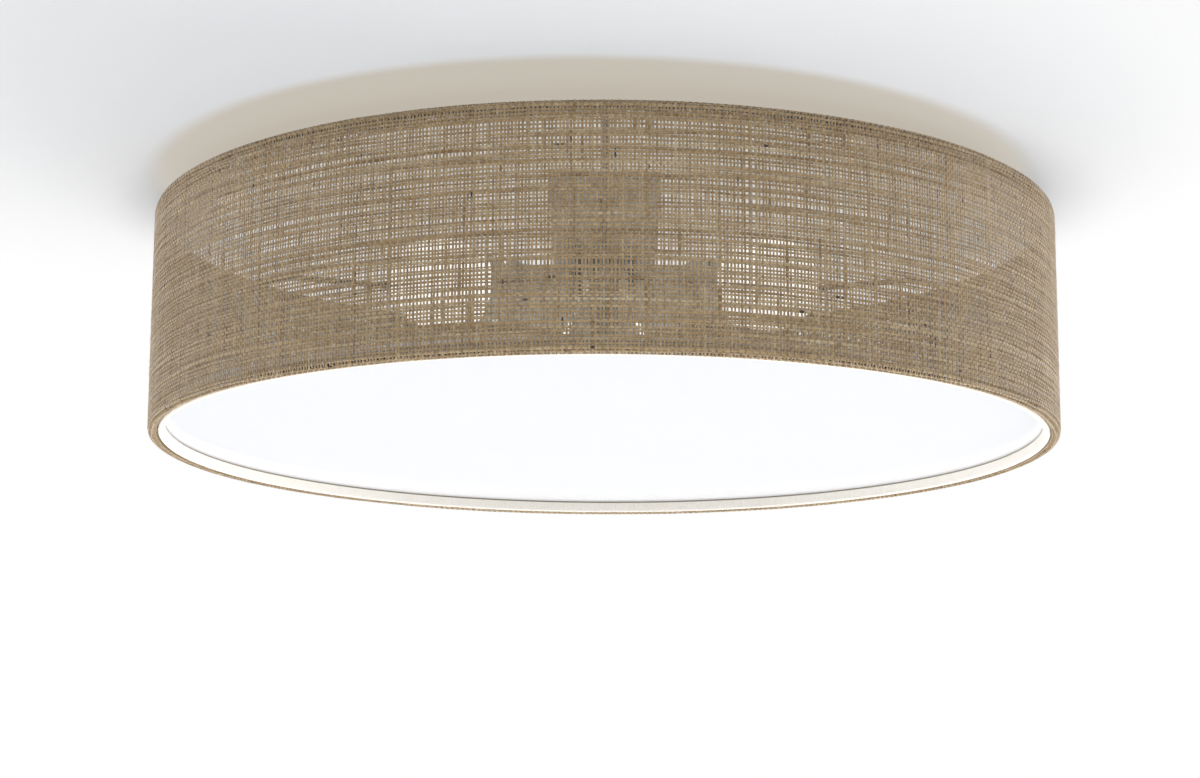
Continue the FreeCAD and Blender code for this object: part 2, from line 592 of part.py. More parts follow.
def lampholders_and_lamps():
    pieces = {
        "holder_bracket_%d": bracket(), "lampholder_body_%d": lampholder_body(),
        "lampholder_liner_%d": lampholder_liner(), "lampholder_tongue_%d": lampholder_tongue(),
        "lamp_cap_%d": lamp_cap(), "lamp_insulator_%d": lamp_insulator(), "lamp_contact_%d": lamp_contact(),
        "lamp_base_%d": lamp_base(), "lamp_globe_%d": lamp_globe()}
    for i, degrees in enumerate(LAMP_DIRECTIONS):
        for name, shape in pieces.items():
            save(name % (i + 1), aim(shape, degrees))
    save("holder_nipples", *[aim(holder_nipple(), degrees) for degrees in LAMP_DIRECTIONS])
    save("holder_nuts", *[aim(holder_nut(), degrees) for degrees in LAMP_DIRECTIONS])
    foot = WEB_BOTTOM - BRACKET
    save("bracket_screws", *[pan_screw(BRACKET_SCREW_RADIUS, BRACKET_SCREW_HEAD, SCREW_HEAD, foot,
                                       WEB_TOP + SCREW_TAIL, place)
                             for degrees in LAMP_DIRECTIONS for place in bracket_screw_places(degrees)])


# ---------------------------------------------------------------- wiring
def grommets():
    """Rubber rings where the wires pass the canopy and the bracket's foot."""
    low = WEB_BOTTOM - BRACKET
    ring = turned([(GROMMET_BORE, low - GROMMET_LIP), (GROMMET_FLANGE, low - GROMMET_LIP),
                   (GROMMET_FLANGE, low), (GROMMET_HOLE, low), (GROMMET_HOLE, WEB_TOP),
                   (GROMMET_FLANGE, WEB_TOP), (GROMMET_FLANGE, WEB_TOP + GROMMET_LIP),
                   (GROMMET_BORE, WEB_TOP + GROMMET_LIP)])
    rings = []
    for degrees in LAMP_DIRECTIONS:
        placed = ring.copy()
        placed.translate(lamp_point(GROMMET_ALONG, 0, 0, degrees))
        rings.append(placed)
    save("wire_grommets", *rings)


def pole(number):
    """X of a terminal: -1 live, 0 earth, 1 neutral."""
    return number * POLE_PITCH


def block_screw_place():
    return Vector(POLE_PITCH / 2, BLOCK_START + BLOCK_LENGTH / 2, 0)


def terminal_block():
    """Three-pole block with brass inserts and their screws."""
    half = BLOCK_WIDTH / 2
    block = box((-half, half), (BLOCK_START, BLOCK_END), (WEB_TOP, BLOCK_TOP))
    inserts = []
    screws = []
    for number in (-1, 0, 1):
        centre = Vector(pole(number), 0, POLE_Z)
        block = block.cut(rod(POLE_BORE, BLOCK_START, BLOCK_END, ALONG_Y, centre))
        insert = tube(POLE_BORE - INSERT_FIT, WIRE * 2, BLOCK_START + INSERT_SUNK, BLOCK_END - INSERT_SUNK,
                      ALONG_Y, centre)
        for y in (BLOCK_START + POLE_SCREW_INSET, BLOCK_END - POLE_SCREW_INSET):
            place = Vector(pole(number), y, 0)
            well = rod(POLE_SCREW + HOLE_CLEARANCE, POLE_Z, BLOCK_TOP, UP, place)
            block = block.cut(well)
            insert = insert.cut(rod(POLE_SCREW + THREAD_CLEARANCE, POLE_Z, BLOCK_TOP, UP, place))
            head = BLOCK_TOP - POLE_SCREW_SUNK
            screw = rod(POLE_SCREW, POLE_Z + WIRE * 2 + INSERT_FIT, head, UP, place)
            slot = box((place.x - POLE_SCREW, place.x + POLE_SCREW),
                       (y - POLE_SCREW_SLOT / 2, y + POLE_SCREW_SLOT / 2), (head - POLE_SCREW_SLOT, head))
            screws.append(screw.cut(slot))
        inserts.append(insert)
    place = block_screw_place()
    block = block.cut(rod(BRACKET_SCREW_RADIUS + THREAD_CLEARANCE, WEB_TOP, WEB_TOP + FIXING_HOLE, UP, place))
    save("terminal_block", block)
    save("terminal_inserts", *inserts)
    save("terminal_screws", *screws)
    save("terminal_fixing_screw", pan_screw(BRACKET_SCREW_RADIUS, BRACKET_SCREW_HEAD, SCREW_HEAD,
                                            WEB_BOTTOM, WEB_TOP + FIXING_REACH, place))


def crimp_sleeves():
    """Sleeves that join three wires into one pin for each terminal."""
    sleeves = []
    for number in (-1, 1):
        centre = Vector(pole(number), 0, POLE_Z)
        collar = rod(POLE_BORE, SLEEVE_START, BLOCK_START, ALONG_Y, centre)
        pin = rod(2 * WIRE - INSERT_FIT, BLOCK_START, BLOCK_START + PIN_LENGTH, ALONG_Y, centre)
        sleeves.append(collar.fuse(pin).removeSplitter())
    save("crimp_sleeves", *sleeves)


def wire_route(lamp, side, level, pole_number, dx, dz):
    """From inside a lampholder's tube, up through its grommet, then along the canopy to a sleeve."""
    degrees = LAMP_DIRECTIONS[lamp]
    inside = lamp_point(BRACKET_FACE + NIPPLE_GRIP - WIRE_INSET, side * WIRE_OFFSET, LAMP_Z, degrees)
    below = lamp_point(GROMMET_ALONG, side * WIRE_OFFSET, LAMP_Z, degrees)
    above = lamp_point(GROMMET_ALONG, side * WIRE_OFFSET, level, degrees)
    end_x = pole(pole_number) + dx
    run = (SLEEVE_START - GROMMET_ALONG) / 4
    route = [inside, below, above]
    if above.y < 0:
        route.append(Vector(above.x, GROMMET_ALONG + run / 2, level))
    route.append(Vector(end_x, SLEEVE_START - 2 * run, level))
    route.append(Vector(end_x, SLEEVE_START - run, POLE_Z + dz))
    route.append(Vector(end_x, SLEEVE_START, POLE_Z + dz))
    return bent_rod(WIRE, [tuple(p) for p in route], WIRE_BEND)


def wires():
    """Brown and blue wires of the three lampholders, stacked where they cross."""
    apart = WIRE * 2 / math.sqrt(3) + BUNDLE_GAP
    side = apart * math.sin(math.radians(60))
    rise = apart / 2
    low = POLE_Z - apart - BUNDLE_DROP
    middle, high, top = [low + WIRE_STEP * (i + 1) for i in range(3)]
    save("wires_live", wire_route(0, 1, low, -1, 0, -apart), wire_route(1, 1, middle, -1, -side, rise),
         wire_route(2, 1, high, -1, side, rise))
    save("wires_neutral", wire_route(0, -1, low, 1, 0, -apart), wire_route(2, -1, middle, 1, side, rise),
         wire_route(1, -1, top, 1, -side, rise))


def earth():
    """Earth wire from the middle terminal to a lug screwed to the canopy."""
    barrel_z = WEB_TOP + LUG + WIRE * LUG_BARREL_RISE
    barrel = (EARTH_SCREW_ALONG - LUG_BARREL[1], EARTH_SCREW_ALONG - LUG_BARREL[0])
    route = [(0, BLOCK_END - EARTH_STRIP, POLE_Z), (0, BLOCK_END + EARTH_STRIP, POLE_Z),
             (0, barrel[0] - EARTH_STRIP, barrel_z), (0, barrel[0] + EARTH_STRIP, barrel_z)]
    save("earth_wire", bent_rod(WIRE, route, WIRE_BEND))
    plate = rod(LUG_RADIUS, WEB_TOP, WEB_TOP + LUG, UP, Vector(0, EARTH_SCREW_ALONG, 0))
    plate = plate.fuse(box((-LUG_RADIUS / 2, LUG_RADIUS / 2), (barrel[0], EARTH_SCREW_ALONG),
                           (WEB_TOP, WEB_TOP + LUG)))
    plate = plate.fuse(rod(WIRE * LUG_BARREL_WALL, barrel[0], barrel[1], ALONG_Y, Vector(0, 0, barrel_z)))
    plate = plate.cut(rod(WIRE + THREAD_CLEARANCE, barrel[0], barrel[1], ALONG_Y, Vector(0, 0, barrel_z)))
    plate = plate.cut(rod(POLE_SCREW + HOLE_CLEARANCE, WEB_TOP, WEB_TOP + LUG, UP,
                          Vector(0, EARTH_SCREW_ALONG, 0)))
    save("earth_lug", plate)
    save("earth_screw", pan_screw(POLE_SCREW, POLE_SCREW * 2, SCREW_HEAD, WEB_BOTTOM,
                                  WEB_TOP + LUG + EARTH_SCREW_REACH, Vector(0, EARTH_SCREW_ALONG, 0)))


os.makedirs("parts", exist_ok=True)
shade_rings()
spider()
film()
jute_cover()
seat_ring()
diffuser()
crossbar()
canopy()
stem()
knob_nut()
lampholders_and_lamps()
grommets()
terminal_block()
crimp_sleeves()
wires()
earth()
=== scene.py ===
# Flush mount ceiling light, dressed for looks: a drum shade of open-weave jute on a wire frame,
# a flat opal diffuser inside its lower edge, and the lamps and canopy behind the cloth.
# Metres, in the frame's own axes: the ceiling is z = 0 and the viewer stands towards -Y.
import math

import bmesh
import bpy
import numpy as np
from mathutils import Matrix, Vector


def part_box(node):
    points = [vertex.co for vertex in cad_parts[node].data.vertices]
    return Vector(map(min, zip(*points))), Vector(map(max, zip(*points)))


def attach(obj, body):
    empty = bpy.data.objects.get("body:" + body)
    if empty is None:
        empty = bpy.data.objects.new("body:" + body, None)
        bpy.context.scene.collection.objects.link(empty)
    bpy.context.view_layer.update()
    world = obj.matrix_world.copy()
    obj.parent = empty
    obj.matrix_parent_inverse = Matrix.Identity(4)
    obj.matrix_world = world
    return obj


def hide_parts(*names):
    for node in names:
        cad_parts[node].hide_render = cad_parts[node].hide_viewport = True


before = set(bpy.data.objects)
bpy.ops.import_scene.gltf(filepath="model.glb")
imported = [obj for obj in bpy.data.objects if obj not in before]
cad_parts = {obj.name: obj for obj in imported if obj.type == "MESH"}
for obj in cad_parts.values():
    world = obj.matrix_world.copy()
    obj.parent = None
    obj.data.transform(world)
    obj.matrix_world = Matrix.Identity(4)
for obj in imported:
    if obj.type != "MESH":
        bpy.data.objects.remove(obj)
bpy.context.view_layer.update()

# ------------------------------------------------------------------ camera
# A long lens a little under two metres away, low enough to look up at the diffuser. Its place is
# worked out from the shade's radius and its lower edge.
cover_low, cover_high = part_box("jute_cover")
SHADE_RADIUS = (cover_high[0] - cover_low[0]) / 2
SHADE_TOP = cover_high[2]
SHADE_BOTTOM = cover_low[2]
CAMERA_BACK = 6.073 * SHADE_RADIUS
CAMERA_DROP = 1.0784 * SHADE_RADIUS
CAMERA_ASIDE = -0.0191 * SHADE_RADIUS
CAMERA_PITCH = math.radians(11.267)
CAMERA_ROLL = math.radians(0.231)
LENS = 83.49
LENS_SHIFT = 0.0038

camera = bpy.data.objects.new("camera", bpy.data.cameras.new("camera"))
bpy.context.collection.objects.link(camera)
camera.data.lens = LENS
camera.data.sensor_width = 36.0
camera.data.shift_x = LENS_SHIFT
camera.location = (CAMERA_ASIDE, -CAMERA_BACK, SHADE_BOTTOM - CAMERA_DROP)
turn = Matrix.Rotation(math.pi / 2 + CAMERA_PITCH, 4, "X") @ Matrix.Rotation(CAMERA_ROLL, 4, "Z")
camera.rotation_euler = turn.to_euler()
bpy.context.scene.camera = camera
bpy.context.scene.view_settings.view_transform = "Standard"


# ------------------------------------------------------------------ room
# A white ceiling, solid from below and open from above, whose fades, painted shade and painted
# lamplight only the camera sees, a pale floor well under the camera, and soft boxes: one behind each
# side, one below and a weak one in front.
def linear(hex_colour):
    """An sRGB hex colour as the linear numbers that a shader socket takes."""
    values = [int(hex_colour[i:i + 2], 16) / 255 for i in (1, 3, 5)]
    return [v / 12.92 if v <= 0.04045 else ((v + 0.055) / 1.055) ** 2.4 for v in values] + [1.0]


def add(tree, kind, settings=None, links=None):
    """Adds a node: settings are its own values or a socket's, links feed sockets from others."""
    node = tree.nodes.new(kind)
    for key, value in (settings or {}).items():
        if isinstance(key, int) or key in node.inputs:
            node.inputs[key].default_value = value
        else:
            setattr(node, key, value)
    for key, source in (links or {}).items():
        tree.links.new(source, node.inputs[key])
    return node


def new_material(name):
    """An empty material, its node tree and its output."""
    material = bpy.data.materials.new(name)
    material.use_nodes = True
    material.node_tree.nodes.clear()
    return material, material.node_tree, material.node_tree.nodes.new("ShaderNodeOutputMaterial")


def new_piece(name, mesh, material):
    """A mesh as an object of one material, at the origin."""
    piece = bpy.data.objects.new(name, mesh)
    bpy.context.collection.objects.link(piece)
    piece.data.materials.append(material)
    return piece


def slab(name, half, level, material, facing):
    """A square sheet at one level, facing up (1) or down (-1)."""
    bm = bmesh.new()
    bmesh.ops.create_grid(bm, x_segments=1, y_segments=1, size=half)
    if facing < 0:
        bmesh.ops.reverse_faces(bm, faces=bm.faces)
    bmesh.ops.translate(bm, verts=bm.verts, vec=(0, 0, level))
    mesh = bpy.data.meshes.new(name)
    bm.to_mesh(mesh)
    bm.free()
    new_piece(name, mesh, material)


ROOM_HALF = 7.0
CEILING_LEVEL = 0.0006        # just clear of the crossbar's face
FLOOR_LEVEL = -2.4
CEILING_PAINT = "#d6d8db"
FLOOR_PAINT = "#eeedeb"
FLOOR_SEEN_PLAIN = 0.7        # share of plain colour in the floor that the camera sees
PAINTED_SHADE_SPOT = (-0.12, -0.32, 0)  # painted shade: the ceiling is seen dimmest here, and whiter away from it
PAINTED_SHADE_FADE = (0.03, 0.58)
PAINTED_RIM_SHADE_FADE = (0.20, 0.37)     # painted shade by the rim: from the light's middle, and nearer it behind the light
PAINTED_RIM_SHADE_LEAN = 0.35
PAINTED_SHADOW_MIDDLE = (-0.009, -0.073, 0)     # a painted soft round shadow, warm-tinted like light through the jute
PAINTED_SHADOW_EDGE = (0.272, 0.290)
PAINTED_SHADOW_TINT = "#c5bdaf"
PAINTED_SHADOW_DEPTH = 0.9
PAINTED_LAMPLIGHT_EDGE = (0.258, 0.270)  # painted lamplight: the ceiling within the shade is shown lit, most at the back
PAINTED_LAMPLIGHT_REACH = (-0.10, 0.20)
PAINTED_LAMPLIGHT_LEVEL = (0.42, 1.0)
WHITE = (1.0, 1.0, 1.0, 1.0)


def ceiling_material():
    """Matt paint from below and nothing from above. The camera sees it fade to white away from
    the painted dim spot and rim shade, with a painted tinted shadow and painted lamplight inside."""
    material, tree, output = new_material("ceiling_paint_with_painted_shade_and_lamplight")
    coords = add(tree, "ShaderNodeTexCoord")
    # painted shade: the camera's white is held back round a spot and by the rim, so the ceiling shows
    # dimmer there
    off_painted_shade_spot = add(tree, "ShaderNodeVectorMath", {"operation": "DISTANCE", 1: PAINTED_SHADE_SPOT},
                   {0: coords.outputs["Object"]})
    away_from_painted_shade = add(tree, "ShaderNodeMapRange",
                   {"interpolation_type": "SMOOTHSTEP", "From Min": PAINTED_SHADE_FADE[0], "From Max": PAINTED_SHADE_FADE[1]},
                   {"Value": off_painted_shade_spot.outputs["Value"]})
    off_middle = add(tree, "ShaderNodeVectorMath", {"operation": "LENGTH"}, {0: coords.outputs["Object"]})
    parts = add(tree, "ShaderNodeSeparateXYZ", None, {0: coords.outputs["Object"]})
    # painted shade by the rim: the white is held back close to the shade's edge
    leaning = add(tree, "ShaderNodeMath", {"operation": "MULTIPLY_ADD", 1: PAINTED_RIM_SHADE_LEAN},
                  {0: parts.outputs["Y"], 2: off_middle.outputs["Value"]})
    past_painted_rim_shade = add(tree, "ShaderNodeMapRange",
                   {"interpolation_type": "SMOOTHSTEP", "From Min": PAINTED_RIM_SHADE_FADE[0],
                    "From Max": PAINTED_RIM_SHADE_FADE[1]}, {"Value": leaning.outputs[0]})
    white_past_painted_shade = add(tree, "ShaderNodeMath", {"operation": "MULTIPLY"},
               {0: away_from_painted_shade.outputs["Result"], 1: past_painted_rim_shade.outputs["Result"]})
    # painted shadow: a tinted round patch beside the rim, for the camera only
    off_painted_shadow = add(tree, "ShaderNodeVectorMath", {"operation": "DISTANCE", 1: PAINTED_SHADOW_MIDDLE},
                       {0: coords.outputs["Object"]})
    painted_shadow = add(tree, "ShaderNodeMapRange",
                   {"interpolation_type": "SMOOTHSTEP", "From Min": PAINTED_SHADOW_EDGE[0],
                    "From Max": PAINTED_SHADOW_EDGE[1], "To Min": PAINTED_SHADOW_DEPTH, "To Max": 0.0},
                   {"Value": off_painted_shadow.outputs["Value"]})
    # painted lamplight: the ceiling within the shade shown lit, brightest towards the back
    painted_lamplight_by_depth = add(tree, "ShaderNodeMapRange",
                       {"From Min": PAINTED_LAMPLIGHT_REACH[0], "From Max": PAINTED_LAMPLIGHT_REACH[1],
                        "To Min": PAINTED_LAMPLIGHT_LEVEL[0], "To Max": PAINTED_LAMPLIGHT_LEVEL[1]},
                       {"Value": parts.outputs["Y"]})
    painted_lamplight = add(tree, "ShaderNodeMapRange",
                 {"From Min": PAINTED_LAMPLIGHT_EDGE[0], "From Max": PAINTED_LAMPLIGHT_EDGE[1], "To Max": 0.0},
                 {"Value": off_middle.outputs["Value"], "To Min": painted_lamplight_by_depth.outputs["Result"]})
    painted_white_and_lamplight = add(tree, "ShaderNodeMath", {"operation": "MAXIMUM"},
              {0: white_past_painted_shade.outputs[0], 1: painted_lamplight.outputs["Result"]})
    seen = add(tree, "ShaderNodeLightPath")
    painted_shadow_seen = add(tree, "ShaderNodeMath", {"operation": "MULTIPLY"},
                    {0: painted_shadow.outputs["Result"], 1: seen.outputs["Is Camera Ray"]})
    painted_white_and_lamplight_seen = add(tree, "ShaderNodeMath", {"operation": "MULTIPLY"},
                     {0: painted_white_and_lamplight.outputs[0], 1: seen.outputs["Is Camera Ray"]})
    matt = add(tree, "ShaderNodeBsdfDiffuse", {"Color": linear(CEILING_PAINT)})
    painted_shadow_colour = add(tree, "ShaderNodeEmission", {"Color": linear(PAINTED_SHADOW_TINT)})
    white = add(tree, "ShaderNodeEmission", {"Color": WHITE})
    with_painted_shadow = add(tree, "ShaderNodeMixShader", None,
                 {0: painted_shadow_seen.outputs[0], 1: matt.outputs[0], 2: painted_shadow_colour.outputs[0]})
    below = add(tree, "ShaderNodeMixShader", None,
                {0: painted_white_and_lamplight_seen.outputs[0], 1: with_painted_shadow.outputs[0], 2: white.outputs[0]})
    clear = add(tree, "ShaderNodeBsdfTransparent")
    side = add(tree, "ShaderNodeNewGeometry")
    one_way = add(tree, "ShaderNodeMixShader", None,
                  {0: side.outputs["Backfacing"], 1: below.outputs[0], 2: clear.outputs[0]})
    tree.links.new(one_way.outputs[0], output.inputs["Surface"])
    return material


def floor_material():
    """Pale matt screed, shown to the camera mostly as its plain colour."""
    material, tree, output = new_material("pale_floor_screed")
    seen = add(tree, "ShaderNodeLightPath")
    matt = add(tree, "ShaderNodeBsdfDiffuse", {"Color": linear(FLOOR_PAINT)})
    plain = add(tree, "ShaderNodeEmission", {"Color": linear(FLOOR_PAINT)})
    share = add(tree, "ShaderNodeMath", {"operation": "MULTIPLY", 1: FLOOR_SEEN_PLAIN},
                {0: seen.outputs["Is Camera Ray"]})
    shown = add(tree, "ShaderNodeMixShader", None,
                {0: share.outputs[0], 1: matt.outputs[0], 2: plain.outputs[0]})
    tree.links.new(shown.outputs[0], output.inputs["Surface"])
    return material


slab("ceiling", ROOM_HALF, CEILING_LEVEL, ceiling_material(), -1)
slab("floor", ROOM_HALF, FLOOR_LEVEL, floor_material(), 1)

WORLD_LIGHT = 0.74            # the room's light on the object; the camera sees full white
world = bpy.data.worlds.new("studio")
bpy.context.scene.world = world
world.use_nodes = True
tree = world.node_tree
tree.nodes.clear()
seen = add(tree, "ShaderNodeLightPath")
strength = add(tree, "ShaderNodeMapRange", {"To Min": WORLD_LIGHT, "To Max": 1.0},
               {"Value": seen.outputs["Is Camera Ray"]})
sky = add(tree, "ShaderNodeBackground", {"Color": WHITE}, {"Strength": strength.outputs["Result"]})
add(tree, "ShaderNodeOutputWorld", None, {"Surface": sky.outputs[0]})

SOFT_BOXES = {
    # name: (place, aimed at, width, height, power)
    "right_box": ((2.0, 1.2, -0.75), (0.2, 0, -0.08), 1.4, 1.2, 42.0),
    "left_box": ((-2.0, 1.2, -0.75), (-0.2, 0, -0.08), 1.4, 1.2, 28.0),
    "low_box": ((-0.05, -0.25, -2.2), (0, 0, -0.1), 0.6, 0.6, 18.0),
    "front_box": ((0.3, -2.6, -1.2), (0, 0, -0.1), 2.2, 1.4, 9.0),
}
for name, (place, target, width, height, power) in SOFT_BOXES.items():
    lamp = bpy.data.lights.new(name, "AREA")
    lamp.shape = "RECTANGLE"
    lamp.size = width
    lamp.size_y = height
    lamp.energy = power
    holder = bpy.data.objects.new(name, lamp)
    bpy.context.collection.objects.link(holder)
    holder.location = place
    holder.rotation_euler = (Vector(place) - Vector(target)).to_track_quat("Z", "Y").to_euler()
    holder.visible_camera = False


# ------------------------------------------------------------------ jute cover
# One length of plain-weave jute round the film, turned in over both wire rings. Loosely spun
# yarns of uneven thickness, so the cloth is open in some places and nearly closed in others.
PANELS = 6                    # the cover is kept in pieces of equal width
PANEL_ENDS = 147              # upright yarns in each, about 12 to the inch
ENDS = PANELS * PANEL_ENDS
TURN = 2 * math.pi / ENDS     # from one upright yarn to the next
PICK = 0.00232                # spacing of the level yarns, about 11 to the inch
CLOTH = 0.0011                # thickness over a crossing
RIM = 0.0067                  # rolled edge, across
TOP_HEM = 0.010
BOTTOM_HEM = 0.0076
END_HALF = 0.00067            # half width of an upright yarn
PICK_HALF = 0.00078
YARN_DEPTH = 0.00031          # half thickness of either
WAVE = CLOTH / 2 - YARN_DEPTH     # yarns swing this far in and out of the cloth's middle
SIDES = 4                     # flats round a yarn or a hair
STRAND_ROOM = 4.0             # bare strands lie this far apart, each 2 across
SLUBS = 420                   # thick places on the upright yarns, with half as many on the level
FLECKS = 260                  # dark specks of bark, half on the yarns of each direction
LUMP_SPREAD = (0.6, 1.8)      # of a slub's or a fleck's usual length
LUMP_SIZE = (0.4, 1.0)
END_SLUB_LENGTH, END_FLECK_LENGTH = 2.6, 1.0      # in yarns crossed
PICK_SLUB_LENGTH, PICK_FLECK_LENGTH = 4.0, 1.1
END_SLUB_SWELL, PICK_SLUB_SWELL = 0.8, 0.6
MIDDLE_TONE = 0.5             # a low tone is dark and a high one pale
SLUB_TONE = -0.15
# How uneven the yarns are: the spread from yarn to yarn, then for each drift along a yarn its
# spread and how many yarns it crosses between turns. Asides are in yarn spacings.
END_WIDTH = (0.05, (0.07, 14), (0.07, 3))
END_ASIDE = (0.07, (0.08, 16))
END_TONE = (0.045, (0.05, 20), (0.05, 4))
PICK_WIDTH = (0.12, (0.16, 50), (0.07, 12))
PICK_ASIDE = (0.0, (0.16, 45), (0.08, 9))
PICK_TONE = (0.05, (0.06, 50), (0.06, 8))
FIBRES = 1500
FIBRE_STEPS = 4
FIBRE_HALF = 0.00005
FIBRE_LENGTH = (0.002, 0.006)
FIBRE_CURL = 1.6              # radians turned along a hair, at most
FIBRE_LIFT = (0.0003, 0.0013)
FIBRE_TONE = (0.45, 1.0)
FIBRE_MARGIN = (5, 4)         # level yarns kept clear of hairs at the cloth's raw edges
JUTE_SHADES = ("#765b3c", "#a3875f", "#bfa57d", "#ddcba9")
JUTE_STOPS = (0.12, 0.38, 0.62, 0.92)     # the tones that have these shades
JUTE_MOTTLE = 0.55
MOTTLE_SIZE = 0.003846        # from a paler patch of yarn to a darker one
FUZZ_SIZE = 0.0003846         # from one fibre of a yarn to the next, drawn as coarse as shows
FLECK_SHADE = "#4f3a25"
FLECK_EDGE = (0.25, 0.7)
MAP_MARGIN = 0.002            # of the bake's own map, at the ends of the strands
ROW_MARGIN = 0.04             # and of a strand's row in it

rng = np.random.default_rng(7)


def cloth_path():
    """Points down the cloth from its top raw edge to its bottom one, as radius, height and the
    outward direction: one for each level yarn and one at each edge. Also the cloth's length."""
    roll = (RIM - CLOTH) / 2
    outer = SHADE_RADIUS - CLOTH / 2
    top = SHADE_TOP - CLOTH / 2 - roll
    bottom = SHADE_BOTTOM + CLOTH / 2 + roll
    top_leg = TOP_HEM - CLOTH / 2 - roll
    bottom_leg = BOTTOM_HEM - CLOTH / 2 - roll
    leg_end, over_end, wall_end, under_end, length = np.cumsum(
        (top_leg, math.pi * roll, top - bottom, math.pi * roll, bottom_leg))
    s = np.linspace(0, length, round(length / PICK) + 2)
    over = np.clip((s - leg_end) / roll, 0, math.pi)
    under = np.clip((s - wall_end) / roll, 0, math.pi)
    facing_r = np.cos(math.pi - over + under)
    facing_z = np.where(over < math.pi, np.sin(over), -np.sin(under))
    level = np.where(over < math.pi, top, bottom) + roll * facing_z
    level = np.where(s < leg_end, top + s - leg_end, level)
    level = np.where((s > over_end) & (s < wall_end), top - (s - over_end), level)
    level = np.where(s > under_end, bottom + s - under_end, level)
    return outer - roll + roll * facing_r, level, facing_r, facing_z, length


PATH_R, PATH_Z, FACING_R, FACING_Z, CLOTH_LENGTH = cloth_path()
PICKS = len(PATH_R) - 2
PATH_STEPS = np.arange(PICKS + 2)


def wander(yarns, stations, step, closed=False):
    """Smooth random wandering along each yarn, about -2 to 2, with a turn every step stations."""
    count = max(2, round(stations / step))
    knots = rng.standard_normal((yarns, count + 1))
    if closed:
        knots[:, -1] = knots[:, 0]
    place = np.linspace(0, count, stations + 1)
    low = np.minimum(place.astype(int), count - 1)
    blend = 0.5 - 0.5 * np.cos(np.pi * (place - low))
    return knots[:, low] * (1 - blend) + knots[:, low + 1] * blend


def uneven(yarns, stations, spread, *drifts, closed=False):
    """A number for each place on each yarn: its own level and its drifts along the way."""
    field = spread * rng.standard_normal((yarns, 1)) if spread else 0.0
    for size, step in drifts:
        field = field + size * wander(yarns, stations, step, closed)
    return field


def lumps(yarns, stations, count, length):
    """Short smooth lumps at random places, 0 to 1: thick slubs, or dark flecks of bark."""
    field = np.zeros((yarns, stations + 1))
    station = np.arange(stations + 1)
    for _ in range(count):
        yarn = rng.integers(yarns)
        middle = rng.uniform(2, stations - 2)
        spread = length * rng.uniform(*LUMP_SPREAD)
        size = rng.uniform(*LUMP_SIZE)
        field[yarn] = np.maximum(field[yarn], size * np.exp(-((station - middle) / spread) ** 2))
    return field


# Upright yarns: a row for each yarn, a column for each station down the cloth.
end_slub = lumps(ENDS, PICKS + 1, SLUBS, END_SLUB_LENGTH)
end_fleck = lumps(ENDS, PICKS + 1, FLECKS // 2, END_FLECK_LENGTH)
end_width = (END_HALF * (1 + END_SLUB_SWELL * end_slub)
             * np.exp(uneven(ENDS, PICKS + 1, *END_WIDTH)))
end_aside = uneven(ENDS, PICKS + 1, *END_ASIDE)
end_tone = MIDDLE_TONE + uneven(ENDS, PICKS + 1, *END_TONE) + SLUB_TONE * end_slub

# Level yarns: a row for each yarn, a column for each upright yarn round the shade.
pick_slub = lumps(PICKS, ENDS, SLUBS // 2, PICK_SLUB_LENGTH)
pick_fleck = lumps(PICKS, ENDS, FLECKS // 2, PICK_FLECK_LENGTH)
pick_width = (PICK_HALF * (1 + PICK_SLUB_SWELL * pick_slub)
              * np.exp(uneven(PICKS, ENDS, *PICK_WIDTH, closed=True)))
pick_aside = uneven(PICKS, ENDS, *PICK_ASIDE, closed=True)
pick_tone = MIDDLE_TONE + uneven(PICKS, ENDS, *PICK_TONE, closed=True) + SLUB_TONE * pick_slub


def spin(bm, first, last, steps):
    """Adds bare strands, not yet laid: x holds STRAND_ROOM times the strand's number plus the
    cross-section's own x, y the step along the strand, and z the cross-section's own z."""
    verts = bmesh.ops.create_circle(bm, cap_ends=True, segments=SIDES, radius=1.0)["verts"]
    edges = list(dict.fromkeys(edge for vert in verts for edge in vert.link_edges))
    strand = verts + edges + [verts[0].link_faces[0]]
    bmesh.ops.rotate(bm, verts=verts, matrix=Matrix.Rotation(math.pi / 2, 3, "X"))
    bmesh.ops.translate(bm, verts=verts, vec=(STRAND_ROOM * first, 0, 0))
    for _ in range(steps):
        grown = bmesh.ops.extrude_edge_only(bm, edges=edges)["geom"]
        edges = [item for item in grown if isinstance(item, bmesh.types.BMEdge)]
        verts = [item for item in grown if isinstance(item, bmesh.types.BMVert)]
        bmesh.ops.translate(bm, verts=verts, vec=(0, 1, 0))
        strand += grown
    strand += bmesh.ops.contextual_create(bm, geom=edges)["faces"]
    for number in range(1, last - first):
        copy = bmesh.ops.duplicate(bm, geom=strand)["geom"]
        verts = [item for item in copy if isinstance(item, bmesh.types.BMVert)]
        bmesh.ops.translate(bm, verts=verts, vec=(STRAND_ROOM * number, 0, 0))


def bare_strands(name, groups):
    """A mesh of bare strands for each (how many, steps), numbered on from each other."""
    bm = bmesh.new()
    first = 0
    for count, steps in groups:
        spin(bm, first, first + count, steps)
        first += count
    bmesh.ops.recalc_face_normals(bm, faces=bm.faces)
    mesh = bpy.data.meshes.new(name)
    bm.to_mesh(mesh)
    bm.free()
    return mesh


def read_strands(mesh):
    """Strand number, the cross-section's x and z, and the step along it, for each vertex."""
    flat = np.empty(len(mesh.vertices) * 3)
    mesh.vertices.foreach_get("co", flat)
    x, y, z = flat.reshape(-1, 3).T
    strand = np.rint(x / STRAND_ROOM).astype(int)
    return strand, x - STRAND_ROOM * strand, np.rint(y).astype(int), z


